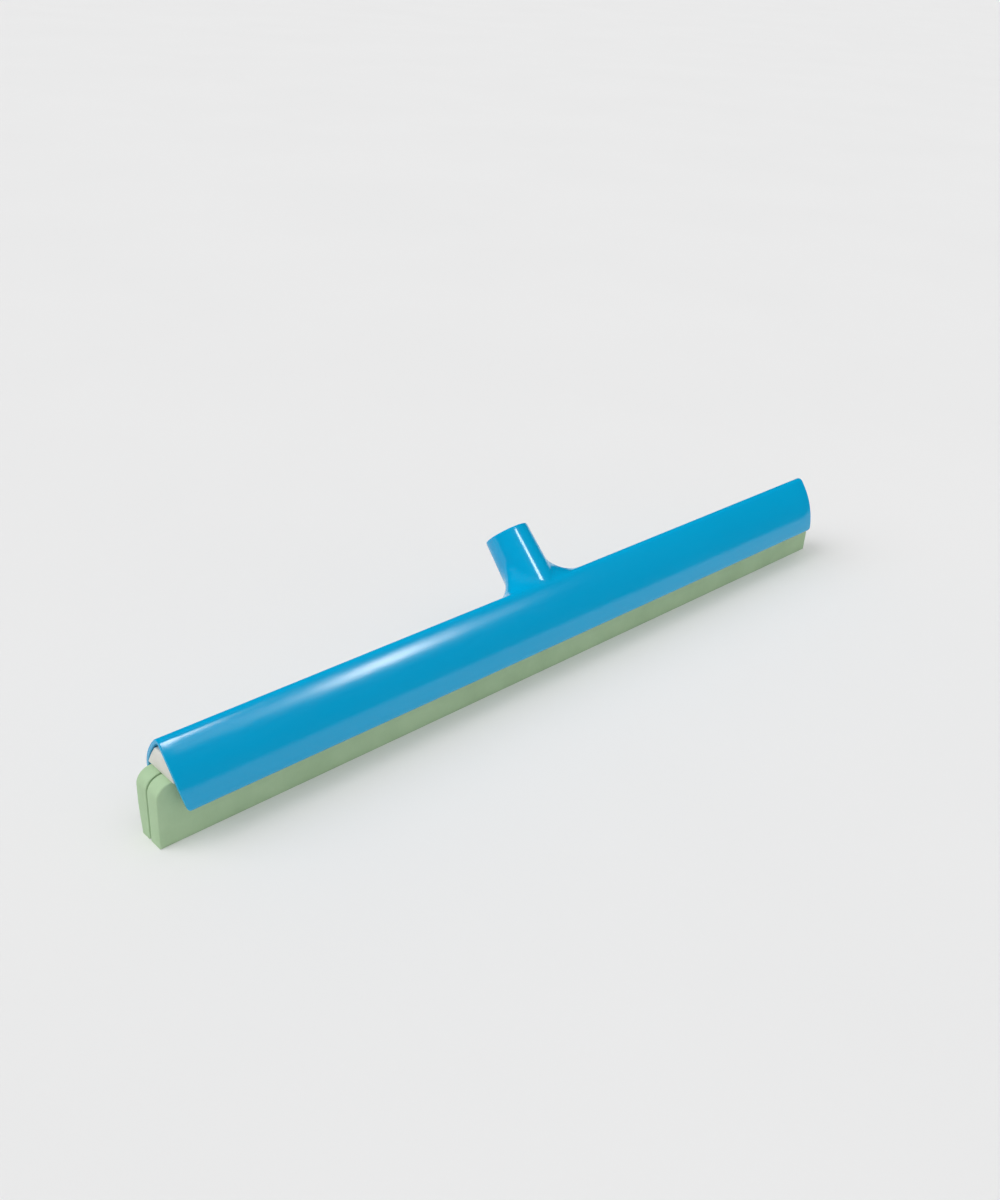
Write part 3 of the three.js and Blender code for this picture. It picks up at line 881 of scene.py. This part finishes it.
def dress(obj, material, body, nodes=()):
    """Gives a piece its finish, the body it rides on and the CAD nodes that it stands for."""
    obj.data.materials.clear()
    obj.data.materials.append(material)
    if body:
        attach(obj, body)
    if nodes:
        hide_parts(*nodes)


def dress_cassette(obj, node):
    dress(obj, WHITE, "cassette", [node])


def make_pieces():
    dress(squeegee_body(), BLUE, "frame", ["squeegee_body"])
    for obj in rails_and_stop():
        shade(obj)
        dress(obj, BLUE, "frame")
    cutter = pin_cutter()
    bend_top, bend_end = place([(0, 0, BLADE_TOP_Z), (0, 0, BEND_END_Z)])
    for side, word in ((-1, "front"), (1, "rear")):
        dress_cassette(jaw(word + "_jaw_moulding", side, cutter), word + "_jaw")
        rubber = blade(word + "_blade", side, cutter)
        dress(rubber, GREEN, None, [word + "_blade_root", word + "_blade_lip"])
        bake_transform(rubber)
        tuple(bend_top)
        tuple(bend_end)
    dress_cassette(separator(cutter), "separator_strip")
    for side, word in ((-1, "left"), (1, "right")):
        dress_cassette(end_cap(word + "_end_cap_moulding", side), word + "_end_cap")
    for i, x in enumerate(PIN_PLACES, start=1):
        dress_cassette(clamp_pin(f"turned_pin_{i}", x), f"clamp_pin_{i}")
    cutter_mesh = cutter.data
    bpy.data.objects.remove(cutter)
    bpy.data.meshes.remove(cutter_mesh)


# ---------------------------------------------------------------- camera, floor and light, in metres
VIEW_AZIMUTH, VIEW_ELEVATION, VIEW_ROLL = 45.1, 29.0, 3.8
VIEW_DISTANCE = 0.807
VIEW_LENS, SENSOR_WIDTH = 37.44, 36
VIEW_REACH = 200
VIEW_TARGET = Vector((-0.0437, BLADE_PLANE_Y * MM, 0.0627))
FLOOR_HALF = 40
FLOOR_Z = -0.0001     # a hair under the wiping edges, so that no two faces share a plane
KEY_FROM = (-0.6, 0.3, 0.74)
KEY_STRENGTH, KEY_ANGLE = 1.25, 50
FILL_FROM = (0.1, -0.2, 0.97)
FILL_STRENGTH, FILL_ANGLE = 1.15, 60
SKY_FADE = (0.02, 0.3, 0.81, 0.36)     # where the fade starts and ends, and the strength below and above it
STREAK_Y, STREAK_WIDTH = -0.616, 0.1
STREAK_AIM_Y, STREAK_AIM_Z = -0.016, 0.057      # on the channel's front face
# name, place in X and Z, length and radiance of each strip
STREAK_STRIPS = [
    ("strip_long", 0.28, 0.53, 0.64, 1.0),
    ("strip_middle", 0.34, 0.53, 0.38, 7.0),
    ("strip_core", 0.34, 0.53, 0.16, 26.0),
]
SOCKET_LAMP_FROM, SOCKET_LAMP_AIM = (0.87, -2.3, 2.99), (0, 0, 0.08)
SOCKET_LAMP_SIZE, SOCKET_LAMP_POWER = (0.75, 1.0), 40


def add_camera():
    a, e, r = (math.radians(v) for v in (VIEW_AZIMUTH, VIEW_ELEVATION, VIEW_ROLL))
    back = Vector((-math.sin(a) * math.cos(e), -math.cos(a) * math.cos(e), math.sin(e)))
    right = (-back).cross(Vector((0, 0, 1))).normalized()
    up = right.cross(-back)
    right_rolled = right * math.cos(r) + up * math.sin(r)
    up_rolled = up * math.cos(r) - right * math.sin(r)
    data = bpy.data.cameras.new("camera")
    data.lens = VIEW_LENS
    data.sensor_width = SENSOR_WIDTH
    data.clip_end = VIEW_REACH
    camera = bpy.data.objects.new("camera", data)
    turn = Matrix((right_rolled, up_rolled, back)).transposed().to_4x4()
    camera.matrix_world = Matrix.Translation(VIEW_TARGET + back * VIEW_DISTANCE) @ turn
    scene.collection.objects.link(camera)
    scene.camera = camera


def add_light(data, place_at, aim_at):
    light = bpy.data.objects.new(data.name, data)
    at, aim = Vector(place_at), Vector(aim_at)
    turn = (at - aim).to_track_quat("Z", "Y").to_matrix().to_4x4()
    light.matrix_world = Matrix.Translation(at) @ turn
    scene.collection.objects.link(light)
    return light


def softbox(name, place_at, aim_at, size, power):
    """A lamp that shows only in gloss, as a soft reflection on the plastic."""
    data = bpy.data.lights.new(name, "AREA")
    data.shape = "RECTANGLE"
    data.size, data.size_y = size
    data.energy = power
    light = add_light(data, place_at, aim_at)
    light.visible_diffuse = False


def add_sun(name, strength, angle, place_at):
    """A soft sun that leaves no reflection in the gloss."""
    data = bpy.data.lights.new(name, "SUN")
    data.energy = strength
    data.angle = math.radians(angle)
    light = add_light(data, place_at, (0, 0, 0))
    light.visible_glossy = False
    return data


def add_lights():
    add_sun("key", KEY_STRENGTH, KEY_ANGLE, KEY_FROM)
    fill = add_sun("fill", FILL_STRENGTH, FILL_ANGLE, FILL_FROM)
    fill.use_shadow = False
    # strips one over another, so that the streak along the channel fades towards both its ends
    for name, x, z, length, radiance in STREAK_STRIPS:
        power = radiance * math.pi * length * STREAK_WIDTH
        softbox(name, (x, STREAK_Y, z), (x, STREAK_AIM_Y, STREAK_AIM_Z), (length, STREAK_WIDTH), power)
    softbox("streak_on_socket", SOCKET_LAMP_FROM, SOCKET_LAMP_AIM, SOCKET_LAMP_SIZE, SOCKET_LAMP_POWER)


def add_sky():
    """Even light from above, brighter low down so that the floor's far edge doesn't show."""
    world = bpy.data.worlds.new("world")
    scene.world = world
    world.use_nodes = True
    tree = world.node_tree
    direction = tree.nodes.new("ShaderNodeTexCoord")
    parts = tree.nodes.new("ShaderNodeSeparateXYZ")
    fade = tree.nodes.new("ShaderNodeMapRange")
    for key, value in zip(("From Min", "From Max", "To Min", "To Max"), SKY_FADE):
        fade.inputs[key].default_value = value
    tree.links.new(direction.outputs["Generated"], parts.inputs["Vector"])
    tree.links.new(parts.outputs["Z"], fade.inputs["Value"])
    tree.links.new(fade.outputs["Result"], tree.nodes["Background"].inputs["Strength"])
    tree.nodes["Background"].inputs["Color"].default_value = (1, 1, 1, 1)
    world.cycles_visibility.glossy = False


def add_floor():
    h, z = FLOOR_HALF, FLOOR_Z
    mesh = bpy.data.meshes.new("floor")
    mesh.from_pydata([(-h, -h, z), (h, -h, z), (h, h, z), (-h, h, z)], [], [(0, 1, 2, 3)])
    floor = bpy.data.objects.new("floor", mesh)
    floor.data.materials.append(floor_paper())
    scene.collection.objects.link(floor)


add_camera()
make_pieces()
add_floor()
add_lights()
add_sky()
scene.view_settings.view_transform = "Standard"
